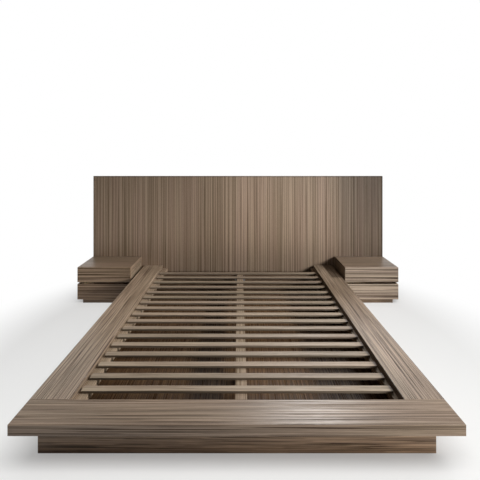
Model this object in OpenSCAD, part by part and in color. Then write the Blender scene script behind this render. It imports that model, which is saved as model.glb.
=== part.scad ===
// Platform bed for a queen mattress: wide flat rails round a sunk slat deck on a set-back plinth,
// a headboard as wide as the whole bed and a two-drawer nightstand on each side.
// Millimetres. +Z is up and +Y points to the headboard.
// The origin is on the floor under the middle of the bed's outline.

/* [Mattress] */
// Width of the mattress that lies between the side rails
mattress_w = 1524; // [900:1:2000]
// Length of the mattress
mattress_l = 2032; // [1850:1:2200]
// Free space between the mattress and each rail
mattress_clear = 13; // [5:1:30]

/* [Rails] */
// Height of the rail tops above the floor
deck_h = 242; // [225:1:400]
// Thickness of the side rails and the foot rail
rail_t = 48; // [42:1:60]
// Width of each side rail
side_rail_w = 188; // [150:1:260]
// Depth of the foot rail from front to back
foot_rail_d = 161; // [156:1:260]
// Radius on the long edges of the rails
rail_ease = 2.5; // [0.5:0.5:6]
// Width of the steel plate let in under each foot corner
corner_plate_w = 110; // [80:1:120]
// Length of the corner plate, half on the foot rail and half on the side rail
corner_plate_l = 140; // [100:1:200]
// Thickness of the corner plate and of the angle brackets at the head
plate_t = 3; // [2:0.5:5]
// Length of each leg of an angle bracket
bracket_leg = 60; // [40:1:90]
// Width of an angle bracket
bracket_w = 50; // [30:1:60]

/* [Slats] */
// Number of slats
slat_count = 17; // [9:1:17]
// Width of a slat, measured along the bed
slat_w = 43; // [36:1:60]
// Thickness of a slat
slat_t = 13; // [10:1:20]
// Depth of the slat tops below the rail tops
slat_drop = 18; // [10:1:22]
// Space from the foot rail to the first slat
first_slat_gap = 87; // [40:1:150]
// Distance from one slat to the next
slat_pitch = 105.5; // [100:0.5:108]
// Number of slats at the headboard that lie farther apart
head_slats = 4; // [0:1:4]
// Distance from one slat to the next there
head_slat_pitch = 124; // [100:1:130]
// Radius on the long edges of a slat
slat_ease = 2; // [0.5:0.5:5]

/* [Ledgers] */
// Width of the left ledger that shows inside the side rail
ledger_show_left = 50; // [20:1:80]
// Width of the right ledger that shows inside the side rail
ledger_show_right = 28; // [20:1:80]
// Width of the ledger's tongue that laps under the side rail
ledger_lap = 40; // [25:1:60]
// Height of the ledger
ledger_h = 37; // [33:1:50]

/* [Plinth] */
// Thickness of the plinth boards
plinth_t = 20; // [15:1:30]
// Set-back of the plinth from the outer faces of the side rails
plinth_side_recess = 45; // [20:1:60]
// Set-back of the plinth from the front of the foot rail
plinth_front_recess = 150; // [20:1:150]
// Distance of the rear plinth board from the headboard
plinth_back_recess = 150; // [60:1:300]
// Width of the square blocks in the plinth's corners
block_w = 45; // [30:1:55]
// Thickness of the bottom board that lies inside the plinth
base_panel_t = 18; // [10:1:25]

/* [Middle beam] */
// Width of the beam under the middle of the slats
beam_w = 56; // [40:1:80]
// Distance of the beam from the bed's middle, to the right
beam_x = 20; // [-60:1:60]
// Height of the beam
beam_h = 95; // [60:1:110]
// Number of legs under the beam
leg_count = 3; // [2:1:4]
// Width of a square leg
leg_w = 50; // [40:1:60]
// Chamfer round the foot of a leg
leg_chamfer = 3; // [1:1:8]
// Sheet thickness of the steel hangers that hold the beam's ends
hanger_t = 2.5; // [1.5:0.5:4]
// Length of the beam's end that sits in a hanger
hanger_l = 50; // [40:1:80]
// Depth of the hanger's top edge below the beam's top
hanger_drop = 24; // [20:1:40]
// Width of the hanger's wings beside the beam
hanger_wing = 20; // [14:1:30]

/* [Headboard] */
// Height of the headboard
headboard_h = 1159; // [900:1:1400]
// Thickness of the headboard panel
headboard_t = 30; // [24:1:45]
// Radius on the headboard's edges
headboard_ease = 2; // [0.5:0.5:5]
// Thickness of the battens on the headboard's back
batten_t = 20; // [16:1:35]
// Width of the upright and level battens
batten_w = 100; // [90:1:140]
// Distance of the battens from the headboard's top and ends
batten_inset = 60; // [30:1:120]
// Height of the middle battens' centre line above the floor
batten_mid_h = 560; // [450:1:650]

/* [Bolts] */
// Diameter of the bolts that hold the side rails to the headboard
rail_bolt_d = 8; // [6:1:10]
// Depth of these bolts in the end of the rail
rail_bolt_grip = 60; // [40:1:90]
// Distance between the two bolts of one rail
rail_bolt_spacing = 60; // [40:1:66]
// Diameter of the bolts that hold the nightstands to the headboard
stand_bolt_d = 6; // [5:1:8]
// Depth of these bolts in the headboard
stand_bolt_grip = 18; // [12:1:20]
// Distance of these bolts from the nightstand's sides
stand_bolt_inset = 90; // [60:1:150]
// Height of a bolt head
bolt_head_h = 4; // [3:0.5:6]
// Diameter of a bolt head, as a multiple of its bolt's diameter
bolt_head_ratio = 2; // [1.6:0.1:2.2]
// Width of the socket in a bolt head, as a multiple of its bolt's diameter
socket_ratio = 0.7; // [0.5:0.05:0.9]
// Depth of the socket, as a share of the head's height
socket_depth = 0.6; // [0.4:0.05:0.8]
// Depth of a rail bolt's head below the batten's back
bolt_head_sink = 2; // [0.5:0.5:4]

/* [Nightstands] */
// Width of a nightstand
stand_w = 494; // [420:1:700]
// Depth of a nightstand, from the drawer fronts to the headboard
stand_d = 371; // [320:1:450]
// Height of a nightstand
stand_h = 333; // [300:1:420]
// Space between a nightstand and the side rail
stand_gap = 31; // [5:1:60]
// Thickness of the top, side, bottom and base boards
panel_t = 20; // [17:1:25]
// Thickness of the back panel
back_t = 8; // [6:1:12]
// Depth of the rebate in the sides that the back panel lies in
back_rebate = 8; // [5:1:10]
// Height of the base under the cabinet
base_h = 36; // [20:1:60]
// Depth by which the base stands back from the nightstand's front
base_front_recess = 16; // [10:1:80]
// Depth by which it stands back from the nightstand's sides
base_recess = 46; // [15:1:80]
// Height of the shadow groove between the two drawers
shadow_gap = 17; // [14:1:24]
// Depth of the shadow groove in the cabinet's sides
shadow_depth = 10; // [5:1:12]
// Depth of the finger space between the carcass front and the rail behind the groove
finger_depth = 25; // [18:1:40]
// Depth of the rail between the drawers, from front to back
divider_d = 60; // [40:1:90]
// Radius on the cabinet's outer edges
stand_ease = 1.5; // [0.5:0.5:3]

/* [Drawers] */
// Height of a lower drawer front
lower_front_h = 143; // [125:1:150]
// Thickness of a drawer front
front_t = 18; // [15:1:24]
// Space between a shut drawer front and the carcass
front_gap = 2; // [1:0.5:4]
// Size of the bevel behind the edge that fingers pull on
finger_bevel = 10; // [6:1:12]
// Thickness of the drawer box's walls
drawer_wall = 14; // [12:1:18]
// Number of dovetails at each corner of a drawer box
tail_count = 3; // [2:1:4]
// Width of the pins between the dovetails, on the outer face
pin_w = 9; // [6:1:12]
// Slope of a dovetail, as sideways over lengthways
tail_slope = 0.17; // [0.12:0.01:0.2]
// Width of the glue line in the dovetails
glue_line = 0.1; // [0.05:0.05:0.2]
// Space between the drawer box and the carcass side
drawer_side_gap = 3; // [2:0.5:6]
// Space under the drawer box
drawer_lift = 6; // [4:1:12]
// Space over the drawer box
drawer_headroom = 12; // [8:1:20]
// Space behind the shut drawer box
drawer_back_gap = 15; // [12:1:30]
// Thickness of the drawer's bottom panel
drawer_bottom_t = 6; // [4:1:8]
// Height of the bottom panel above the lower edge of the box
drawer_bottom_rise = 8; // [6:1:12]
// Depth of the groove that holds the bottom panel
bottom_groove = 5; // [3:1:6]
// Height of a runner strip
runner_h = 12; // [9:1:16]
// Depth of the runner strip inside the drawer side's groove
runner_bite = 7; // [5:1:9]
// Distance of the runner's front end from the carcass front
runner_setback = 18; // [16:1:40]

/* [Fits] */
// Clearance round a piece that drops or slides into another
fit = 0.3; // [0.2:0.1:0.6]
// Free depth behind a runner in its groove
groove_relief = 1; // [0.5:0.5:2]
// Radial clearance round a bolt
bolt_fit = 0.2; // [0.1:0.1:0.5]
// Radius of the screw holes in the steel pieces
screw_hole_r = 2.5; // [2:0.5:3]

/* [Hidden] */
$fn = 48;
LEFT = -1;
RIGHT = 1;
LOWER = 0;
UPPER = 1;

VENEER = [0.49, 0.42, 0.35];
VENEER_DARK = [0.36, 0.30, 0.24];
SLAT_WOOD = [0.60, 0.55, 0.47];
HARDWOOD = [0.74, 0.62, 0.46];
STEEL = [0.62, 0.63, 0.65];

// The well and the rails round it
well_w = mattress_w + 2 * mattress_clear;
well_l = mattress_l + 2 * mattress_clear;
rail_in = well_w / 2;
rail_out = rail_in + side_rail_w;
rail_mid = rail_in + side_rail_w / 2;
total_l = foot_rail_d + well_l + headboard_t + batten_t;
y_foot = -total_l / 2;
y_well = y_foot + foot_rail_d;
y_head = y_well + well_l;
y_panel_back = y_head + headboard_t;
y_back = y_panel_back + batten_t;
z_under = deck_h - rail_t;
z_bolt = deck_h - rail_t / 2;

// The slats, and the level that carries them
z_slat = deck_h - slat_drop - slat_t;
y_first = y_well + first_slat_gap;
function slat_y(i) = y_first + (i - 1) * slat_pitch
    + max(0, i - (slat_count - head_slats)) * (head_slat_pitch - slat_pitch);

// The plinth and the ledgers
plinth_out = rail_out - plinth_side_recess;
plinth_in = plinth_out - plinth_t;
function ledger_show(side) = side == LEFT ? ledger_show_left : ledger_show_right;
function ledger_in(side) = rail_in - ledger_show(side);
y_plinth = y_foot + plinth_front_recess;
y_plinth_in = y_plinth + plinth_t;
y_rear = y_head - plinth_back_recess;
y_rear_in = y_rear - plinth_t;
ledger_out = rail_in + ledger_lap;
y_ledger = max(y_well, y_plinth_in);
z_ledger = z_slat - ledger_h;

// The middle beam
z_beam = z_slat - beam_h;
y_beam = y_plinth_in + hanger_t + fit;
y_beam_end = y_rear_in - hanger_t - fit;
hanger_h = beam_h - hanger_drop;

// The headboard, as wide as the nightstands' outer sides
headboard_w = 2 * (rail_out + stand_gap + stand_w);
upright_x = [rail_mid, headboard_w / 2 - batten_inset - batten_w / 2];
z_batten_top = headboard_h - batten_inset - batten_w;

// The right nightstand; the left one mirrors it
stand_x0 = rail_out + stand_gap;
stand_x1 = stand_x0 + stand_w;
stand_y = y_head - stand_d;
carcass_y = stand_y + front_t + front_gap;
inner_x0 = stand_x0 + panel_t;
inner_x1 = stand_x1 - panel_t;
y_back_panel = y_head - back_t;
z_gap = base_h + lower_front_h;
z_upper = z_gap + shadow_gap;
z_top = stand_h - panel_t;
z_inside = base_h + panel_t;
stand_bolt_z = (z_upper + z_top) / 2;
runner_y = carcass_y + runner_setback;
runner_l = y_back_panel - runner_y - drawer_back_gap;
runner_x = drawer_side_gap + runner_bite;

// The space that a drawer box has, and the box in it; level is LOWER or UPPER
function bay_z0(level) = level == LOWER ? z_inside : z_upper;
function bay_z1(level) = level == LOWER ? z_gap : z_top;
function box_z0(level) = bay_z0(level) + drawer_lift;
function box_z1(level) = bay_z1(level) - drawer_headroom;
function runner_z(level) = (box_z0(level) + box_z1(level) - runner_h) / 2;
function front_z0(level) = level == LOWER ? base_h : z_upper;
function front_z1(level) = level == LOWER ? z_gap : stand_h;
box_x0 = inner_x0 + drawer_side_gap;
box_x1 = inner_x1 - drawer_side_gap;
box_y0 = stand_y + front_t;
box_y1 = y_back_panel - drawer_back_gap;

function slat_name(i) = str("slat_", i < 10 ? "0" : "", i);

// A rectangle from the origin with rounded corners
module rounded_rect(size, r) {
    translate([r, 0]) square([size.x - 2 * r, size.y]);
    translate([0, r]) square([size.x, size.y - 2 * r]);
    for (x = [r, size.x - r]) for (y = [r, size.y - r]) translate([x, y]) circle(r);
}

// A bar along X or Y with its long edges rounded and its ends cut square
module bar_x(size, r) {
    rotate([90, 0, 90]) linear_extrude(size.x) rounded_rect([size.y, size.z], r);
}

module bar_y(size, r) {
    translate([0, size.y, 0]) rotate([90, 0, 0]) linear_extrude(size.y) rounded_rect([size.x, size.z], r);
}

// A board with all twelve edges rounded
module eased_board(size, r) {
    intersection() {
        bar_x(size, r);
        bar_y(size, r);
        linear_extrude(size.z) rounded_rect([size.x, size.y], r);
    }
}

// A piece drawn for the right-hand side, mirrored for the left
module on_side(side) {
    if (side == LEFT) mirror([1, 0, 0]) children();
    else children();
}

// Steel pieces

module screw_hole(depth) {
    translate([0, 0, -depth]) cylinder(r = screw_hole_r, h = 3 * depth);
}

module corner_plate(grow) {
    translate([rail_mid - corner_plate_w / 2 - grow, y_well - corner_plate_l / 2 - grow, z_under - grow])
        cube([corner_plate_w + 2 * grow, corner_plate_l + 2 * grow, plate_t + grow]);
}

module corner_plates() {
    color(STEEL) for (side = [LEFT, RIGHT]) on_side(side) difference() {
        corner_plate(0);
        for (x = [-1, 1]) for (y = [-1, 1])
            translate([rail_mid + x * corner_plate_w / 3, y_well + y * corner_plate_l / 3, z_under])
                screw_hole(plate_t);
    }
}

// An angle bracket under each side rail, with one leg on the headboard's face
bracket_x = (ledger_out + plinth_in) / 2 - bracket_w / 2;

module head_bracket() {
    difference() {
        translate([bracket_x, y_head, z_under]) rotate([90, 0, 90]) linear_extrude(bracket_w)
            polygon([
                [0, 0], [-bracket_leg, 0], [-bracket_leg, -plate_t],
                [-plate_t, -plate_t], [-plate_t, -bracket_leg], [0, -bracket_leg]
            ]);
        for (x = [bracket_w / 4, 3 * bracket_w / 4]) translate([bracket_x + x, y_head, z_under]) {
            translate([0, -2 * bracket_leg / 3, -plate_t]) screw_hole(plate_t);
            translate([0, 0, -2 * bracket_leg / 3]) rotate([90, 0, 0]) screw_hole(plate_t);
        }
    }
}

module head_brackets() {
    color(STEEL) for (side = [LEFT, RIGHT]) on_side(side) head_bracket();
}

// A folded hanger: a back plate on the plinth board and a U-shaped seat for the beam's end
module beam_hanger() {
    outer_w = beam_w + 2 * (fit + hanger_t);
    difference() {
        union() {
            translate([-outer_w / 2 - hanger_wing, 0, z_beam - hanger_t - fit])
                cube([outer_w + 2 * hanger_wing, hanger_t, hanger_h + hanger_t + fit]);
            translate([-outer_w / 2, 0, z_beam - hanger_t - fit])
                cube([outer_w, hanger_l + hanger_t, hanger_h + hanger_t + fit]);
        }
        translate([-beam_w / 2 - fit, hanger_t, z_beam - fit])
            cube([beam_w + 2 * fit, hanger_l + hanger_t, hanger_h + 2 * fit]);
        for (x = [-1, 1]) for (z = [hanger_h / 4, 3 * hanger_h / 4])
            translate([x * (outer_w + hanger_wing) / 2, hanger_t, z_beam + z])
                rotate([90, 0, 0]) screw_hole(hanger_t);
    }
}

module beam_hangers() {
    color(STEEL) {
        translate([beam_x, y_plinth_in, 0]) beam_hanger();
        translate([beam_x, y_rear_in, 0]) mirror([0, 1, 0]) beam_hanger();
    }
}

// A bolt along -Y with a socket head; y = 0 is under the head
module bolt(d, l) {
    head_d = bolt_head_ratio * d;
    rotate([90, 0, 0]) cylinder(d = d, h = l);
    difference() {
        rotate([-90, 0, 0]) cylinder(d = head_d, h = bolt_head_h);
        translate([0, bolt_head_h, 0]) rotate([90, 0, 0])
            cylinder(d = socket_ratio * d, h = socket_depth * bolt_head_h, $fn = 6);
    }
}

rail_bolt_x = [rail_mid - rail_bolt_spacing / 2, rail_mid + rail_bolt_spacing / 2];
rail_bolt_seat = bolt_head_h + bolt_head_sink;
rail_bolt_l = batten_t - rail_bolt_seat + headboard_t + rail_bolt_grip;
stand_bolt_x = [stand_x0 + stand_bolt_inset, stand_x1 - stand_bolt_inset];

module connector_bolts() {
    color(STEEL) for (side = [LEFT, RIGHT]) on_side(side) {
        for (x = rail_bolt_x) translate([x, y_back - rail_bolt_seat, z_bolt]) bolt(rail_bolt_d, rail_bolt_l);
        for (x = stand_bolt_x) translate([x, y_back_panel, stand_bolt_z]) mirror([0, 1, 0])
            bolt(stand_bolt_d, back_t + stand_bolt_grip);
    }
}

// The holes for these bolts, cut from each piece that they pass through
module rail_bolt_holes() {
    for (x = rail_bolt_x) translate([x, y_back, z_bolt]) rotate([90, 0, 0]) {
        cylinder(d = rail_bolt_d + 2 * bolt_fit, h = rail_bolt_seat + rail_bolt_l + fit);
        cylinder(d = bolt_head_ratio * rail_bolt_d + 2 * fit, h = rail_bolt_seat);
    }
}

module stand_bolt_holes() {
    for (x = stand_bolt_x) translate([x, y_back_panel, stand_bolt_z]) rotate([-90, 0, 0])
        cylinder(d = stand_bolt_d + 2 * bolt_fit, h = back_t + stand_bolt_grip + fit);
}

// Rails

module foot_rail() {
    color(VENEER) difference() {
        translate([-rail_out, y_foot, z_under]) eased_board([2 * rail_out, foot_rail_d, rail_t], rail_ease);
        for (side = [LEFT, RIGHT]) on_side(side) corner_plate(fit);
    }
}

module side_rail(side) {
    color(VENEER) on_side(side) difference() {
        translate([rail_in, y_well, z_under]) bar_y([side_rail_w, well_l, rail_t], rail_ease);
        corner_plate(fit);
        rail_bolt_holes();
    }
}

// Plinth

module plinth_front() {
    color(VENEER_DARK) translate([-plinth_out, y_plinth, 0])
        eased_board([2 * plinth_out, plinth_t, z_under], rail_ease / 2);
}

module plinth_side(side) {
    color(VENEER_DARK) on_side(side) translate([plinth_in, y_plinth_in, 0])
        cube([plinth_t, y_head - y_plinth_in, z_under]);
}

// The rear board is notched for the ledgers, which rest in it
module plinth_back() {
    color(VENEER_DARK) difference() {
        translate([-plinth_in, y_rear_in, 0]) cube([2 * plinth_in, plinth_t, z_under]);
        for (side = [LEFT, RIGHT]) on_side(side) translate([ledger_in(side) - fit, y_rear_in - fit, z_ledger])
            cube([ledger_show(side) + ledger_lap + 2 * fit, plinth_t + 2 * fit, ledger_h + fit]);
    }
}

// Blocks in the corners: four stand on the bottom board, and two behind the rear board on the floor
module corner_block(y, z) {
    translate([plinth_in - block_w, y, z]) cube([block_w, block_w, z_under - z]);
}

module plinth_blocks() {
    color(HARDWOOD) for (side = [LEFT, RIGHT]) on_side(side) {
        corner_block(y_plinth_in, base_panel_t);
        corner_block(y_rear_in - block_w, base_panel_t);
        corner_block(y_rear, 0);
    }
}

// The bottom board, which shows between the slats
module base_panel() {
    color(VENEER_DARK) translate([-plinth_in + fit, y_plinth_in + fit, 0])
        cube([2 * (plinth_in - fit), y_rear_in - y_plinth_in - 2 * fit, base_panel_t]);
}

// Slat deck

// The ledger is rebated: its tongue laps under the rail and its shoulder stands against the rail's face
module ledger(side) {
    color(SLAT_WOOD) on_side(side) translate([0, y_head, 0]) rotate([90, 0, 0])
        linear_extrude(y_head - y_ledger) polygon([
            [ledger_in(side), z_ledger], [ledger_out, z_ledger], [ledger_out, z_under],
            [rail_in, z_under], [rail_in, z_slat], [ledger_in(side), z_slat]
        ]);
}

module slat(i) {
    color(SLAT_WOOD) translate([-mattress_w / 2, slat_y(i), z_slat])
        bar_x([mattress_w, slat_w, slat_t], slat_ease);
}

module centre_beam() {
    color(SLAT_WOOD) translate([beam_x - beam_w / 2, y_beam, z_beam]) cube([beam_w, y_beam_end - y_beam, beam_h]);
}

function leg_y(k) = y_beam + k * (y_beam_end - y_beam) / (leg_count + 1);

// A square leg with a chamfered foot, between the bottom board and the beam
module leg_profile(l) {
    half = leg_w / 2;
    rotate([90, 0, 0]) translate([0, 0, -half]) linear_extrude(leg_w) polygon([
        [leg_chamfer - half, 0], [half - leg_chamfer, 0], [half, leg_chamfer],
        [half, l], [-half, l], [-half, leg_chamfer]
    ]);
}

module centre_leg() {
    intersection() {
        leg_profile(z_beam - base_panel_t);
        rotate([0, 0, 90]) leg_profile(z_beam - base_panel_t);
    }
}

module centre_legs() {
    color(SLAT_WOOD) for (k = [1 : leg_count]) translate([beam_x, leg_y(k), base_panel_t]) centre_leg();
}

// Headboard

module headboard_panel() {
    color(VENEER) difference() {
        translate([-headboard_w / 2, y_head, 0])
            eased_board([headboard_w, headboard_t, headboard_h], headboard_ease);
        for (side = [LEFT, RIGHT]) on_side(side) {
            rail_bolt_holes();
            stand_bolt_holes();
        }
    }
}

// Four uprights, one level batten along the top and three between the uprights
module headboard_battens() {
    color(HARDWOOD) {
        translate([-upright_x[1] - batten_w / 2, y_panel_back, z_batten_top])
            cube([2 * upright_x[1] + batten_w, batten_t, batten_w]);
        for (side = [LEFT, RIGHT]) on_side(side) {
            difference() {
                for (x = upright_x) translate([x - batten_w / 2, y_panel_back, 0])
                    cube([batten_w, batten_t, z_batten_top - fit]);
                rail_bolt_holes();
            }
            translate([upright_x[0] + batten_w / 2 + fit, y_panel_back, batten_mid_h - batten_w / 2])
                cube([upright_x[1] - upright_x[0] - batten_w - 2 * fit, batten_t, batten_w]);
        }
        translate([-upright_x[0] + batten_w / 2 + fit, y_panel_back, batten_mid_h - batten_w / 2])
            cube([2 * upright_x[0] - batten_w - 2 * fit, batten_t, batten_w]);
    }
}

// Nightstands

module stand_top(side) {
    color(VENEER) on_side(side) translate([stand_x0, carcass_y, z_top])
        eased_board([stand_w, y_head - carcass_y, panel_t], stand_ease);
}

// A side board for the outer face at x = stand_x1, grooved outside and rebated inside for the back panel
module side_board() {
    difference() {
        translate([inner_x1, carcass_y, base_h]) cube([panel_t, y_head - carcass_y, z_top - base_h]);
        translate([stand_x1 - shadow_depth, carcass_y - fit, z_gap])
            cube([shadow_depth + fit, y_head - carcass_y + 2 * fit, shadow_gap]);
        translate([inner_x1 - fit, y_back_panel, base_h - fit])
            cube([back_rebate + fit, back_t + fit, z_top - base_h + 2 * fit]);
    }
}

module stand_outer_side(side) {
    color(VENEER) on_side(side) side_board();
}

module stand_inner_side(side) {
    color(VENEER) on_side(side) translate([stand_x0 + stand_x1, 0, 0]) mirror([1, 0, 0]) side_board();
}

module stand_back_panel(side) {
    color(HARDWOOD) on_side(side) difference() {
        translate([inner_x0 - back_rebate + fit, y_back_panel, base_h])
            cube([inner_x1 - inner_x0 + 2 * (back_rebate - fit), back_t, z_top - base_h]);
        stand_bolt_holes();
    }
}

module stand_bottom(side) {
    color(HARDWOOD) on_side(side) translate([inner_x0, carcass_y, base_h])
        cube([inner_x1 - inner_x0, y_back_panel - carcass_y, panel_t]);
}

// A frame of four boards, set back at the front and the sides
module stand_base(side) {
    x0 = stand_x0 + base_recess;
    y0 = stand_y + base_front_recess;
    size = [stand_w - 2 * base_recess, stand_d - base_front_recess, base_h];
    color(VENEER_DARK) on_side(side) translate([x0, y0, 0]) difference() {
        cube(size);
        translate([panel_t, panel_t, -fit])
            cube([size.x - 2 * panel_t, size.y - 2 * panel_t, base_h + 2 * fit]);
    }
}

// The rail behind the shadow groove, far enough back for fingers
module stand_divider(side) {
    color(VENEER_DARK) on_side(side) translate([inner_x0, carcass_y + finger_depth, z_gap])
        cube([inner_x1 - inner_x0, divider_d, shadow_gap]);
}

module stand_runners(side) {
    color(HARDWOOD) on_side(side) for (level = [LOWER, UPPER]) for (x = [inner_x0, inner_x1 - runner_x])
        translate([x, runner_y, runner_z(level)]) cube([runner_x, runner_l, runner_h]);
}

// Drawers

// The front laps over the carcass; its edge at the groove is bevelled behind for the fingers
module drawer_front(side, level) {
    z0 = front_z0(level);
    z1 = front_z1(level);
    z_bevel = level == LOWER ? z1 : z0;
    color(VENEER) on_side(side) difference() {
        translate([stand_x0, stand_y, z0]) eased_board([stand_w, front_t, z1 - z0], stand_ease);
        translate([stand_x0 - fit, stand_y + front_t, z_bevel]) rotate([45, 0, 0])
            translate([0, -finger_bevel / sqrt(2), -finger_bevel / sqrt(2)])
                cube([stand_w + 2 * fit, finger_bevel * sqrt(2), finger_bevel * sqrt(2)]);
    }
}

// The dovetails at one corner, from the side board's baseline at y = drawer_wall to its end at y = 0
module tails(h, grow) {
    tail_w = (h - (tail_count + 1) * pin_w) / tail_count;
    splay = tail_slope * drawer_wall;
    for (k = [0 : tail_count - 1]) translate([-grow, 0, pin_w + k * (tail_w + pin_w)])
        rotate([90, 0, 90]) linear_extrude(drawer_wall + 2 * grow) polygon([
            [-grow, -grow], [drawer_wall, splay - grow],
            [drawer_wall, tail_w - splay + grow], [-grow, tail_w + grow]
        ]);
}

// The same at the four corners of a box from the origin
module corner_tails(size, grow) {
    for (flip_x = [0, 1]) for (flip_y = [0, 1])
        translate([flip_x * size.x, flip_y * size.y, 0])
            mirror([flip_x, 0, 0]) mirror([0, flip_y, 0]) tails(size.z, grow);
}

// Two sides with tails and two ends with pins, kept apart by the glue line
module dovetailed_walls(size) {
    for (x = [0, size.x - drawer_wall]) translate([x, drawer_wall, 0])
        cube([drawer_wall, size.y - 2 * drawer_wall, size.z]);
    corner_tails(size, 0);
    difference() {
        for (y = [0, size.y - drawer_wall + glue_line]) translate([0, y, 0])
            cube([size.x, drawer_wall - glue_line, size.z]);
        corner_tails(size, glue_line);
    }
}

// The walls with a groove round the inside for the bottom and a stopped groove outside for each runner
module drawer_walls(level) {
    size = [box_x1 - box_x0, box_y1 - box_y0, box_z1(level) - box_z0(level)];
    groove_h = runner_h + 2 * fit;
    groove_x = runner_bite + groove_relief;
    groove_y = runner_y - fit;
    difference() {
        translate([box_x0, box_y0, box_z0(level)]) dovetailed_walls(size);
        bottom_panel(level, fit);
        for (x = [box_x0 - fit, box_x1 - groove_x])
            translate([x, groove_y, runner_z(level) - fit])
                cube([groove_x + fit, box_y1 - groove_y + fit, groove_h]);
    }
}

module bottom_panel(level, grow) {
    inset = drawer_wall - bottom_groove + fit - grow;
    translate([box_x0 + inset, box_y0 + inset, box_z0(level) + drawer_bottom_rise - grow])
        cube([box_x1 - box_x0 - 2 * inset, box_y1 - box_y0 - 2 * inset, drawer_bottom_t + 2 * grow]);
}

module drawer_box(side, level) {
    color(HARDWOOD) on_side(side) {
        drawer_walls(level);
        bottom_panel(level, 0);
    }
}

foot_rail();
side_rail(LEFT);  // side_rail_left
side_rail(RIGHT);  // side_rail_right
corner_plates();
plinth_front();
plinth_back();
plinth_side(LEFT);  // plinth_left
plinth_side(RIGHT);  // plinth_right
plinth_blocks();
ledger(LEFT);  // ledger_left
ledger(RIGHT);  // ledger_right
head_brackets();
centre_beam();
beam_hangers();
centre_legs();
base_panel();
for (i = [1 : slat_count]) slat(i);
headboard_panel();
headboard_battens();
connector_bolts();
stand_top(LEFT);  // nightstand_left_top
stand_outer_side(LEFT);  // nightstand_left_outer_side
stand_inner_side(LEFT);  // nightstand_left_inner_side
stand_back_panel(LEFT);  // nightstand_left_back_panel
stand_bottom(LEFT);  // nightstand_left_bottom
stand_base(LEFT);  // nightstand_left_base
stand_divider(LEFT);  // nightstand_left_divider
stand_runners(LEFT);  // nightstand_left_runners
drawer_front(LEFT, LOWER);  // nightstand_left_lower_front
drawer_box(LEFT, LOWER);  // nightstand_left_lower_drawer_box
drawer_front(LEFT, UPPER);  // nightstand_left_upper_front
drawer_box(LEFT, UPPER);  // nightstand_left_upper_drawer_box
stand_top(RIGHT);  // nightstand_right_top
stand_outer_side(RIGHT);  // nightstand_right_outer_side
stand_inner_side(RIGHT);  // nightstand_right_inner_side
stand_back_panel(RIGHT);  // nightstand_right_back_panel
stand_bottom(RIGHT);  // nightstand_right_bottom
stand_base(RIGHT);  // nightstand_right_base
stand_divider(RIGHT);  // nightstand_right_divider
stand_runners(RIGHT);  // nightstand_right_runners
drawer_front(RIGHT, LOWER);  // nightstand_right_lower_front
drawer_box(RIGHT, LOWER);  // nightstand_right_lower_drawer_box
drawer_front(RIGHT, UPPER);  // nightstand_right_upper_front
drawer_box(RIGHT, UPPER);  // nightstand_right_upper_drawer_box
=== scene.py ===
# %% [markdown]
# # A low platform bed in striped veneer
# The bed is a wide, flat frame round a sunk deck of slats. It stands on a plinth that is set back
# in the shade, so the frame seems to float. The headboard is as wide as the bed and its two
# nightstands together.
# The wooden pieces are already modelled at their real size. They arrive as a frame of fixed meshes,
# and this lesson dresses them: it gives each one its veneer, stain or metal, lays the slats again
# with a small difference in tone from one to the next, adds the screws, and lights the bed as in a
# white studio.

# %% Load the frame
import math

import bmesh
import bpy
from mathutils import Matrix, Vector


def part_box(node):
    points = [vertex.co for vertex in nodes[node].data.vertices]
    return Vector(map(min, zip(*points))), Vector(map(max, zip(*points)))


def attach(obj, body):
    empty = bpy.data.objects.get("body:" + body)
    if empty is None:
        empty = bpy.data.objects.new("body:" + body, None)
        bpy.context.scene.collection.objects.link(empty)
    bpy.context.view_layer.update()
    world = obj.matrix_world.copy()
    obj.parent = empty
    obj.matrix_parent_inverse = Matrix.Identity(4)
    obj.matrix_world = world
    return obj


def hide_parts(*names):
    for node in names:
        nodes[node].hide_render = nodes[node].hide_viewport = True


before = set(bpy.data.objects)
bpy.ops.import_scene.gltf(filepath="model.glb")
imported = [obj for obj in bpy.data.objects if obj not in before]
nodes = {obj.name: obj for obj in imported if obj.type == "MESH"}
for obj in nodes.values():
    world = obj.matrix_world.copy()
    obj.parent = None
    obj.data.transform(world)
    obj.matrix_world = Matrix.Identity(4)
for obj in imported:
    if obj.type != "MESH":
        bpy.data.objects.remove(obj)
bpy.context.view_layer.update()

# %% [markdown]
# ## The camera
# The picture looks straight along the bed from its foot, with the camera level. A level camera
# keeps upright edges upright. The bed lies far below the horizon, and tilting the camera would
# bring it into the picture but make its upright edges lean. So the lens is shifted down instead, as
# an architect's camera would be. The camera's distance and height decide how fast the rails run
# together towards the headboard.

# %% Place the camera
CAMERA_HEIGHT = 1.3727
CAMERA_TO_FOOT = 1.526
CAMERA_RIGHT = 0.008
LENS_MM = 27.3
SENSOR_MM = 36.0
SHIFT_RIGHT = 0.0026  # a share of the picture's width
SHIFT_DOWN = 0.1765  # also a share of the picture's width

foot_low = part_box("foot_rail")[0]
camera_data = bpy.data.cameras.new("camera")
camera_data.lens = LENS_MM
camera_data.sensor_width = SENSOR_MM
camera_data.shift_x = SHIFT_RIGHT
camera_data.shift_y = -SHIFT_DOWN
camera = bpy.data.objects.new("camera", camera_data)
camera.location = (CAMERA_RIGHT, foot_low.y - CAMERA_TO_FOOT, CAMERA_HEIGHT)
camera.rotation_euler = (math.radians(90), 0, 0)
bpy.context.scene.collection.objects.link(camera)
bpy.context.scene.camera = camera
print("camera stands", CAMERA_TO_FOOT, "m in front of the foot rail")

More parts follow.
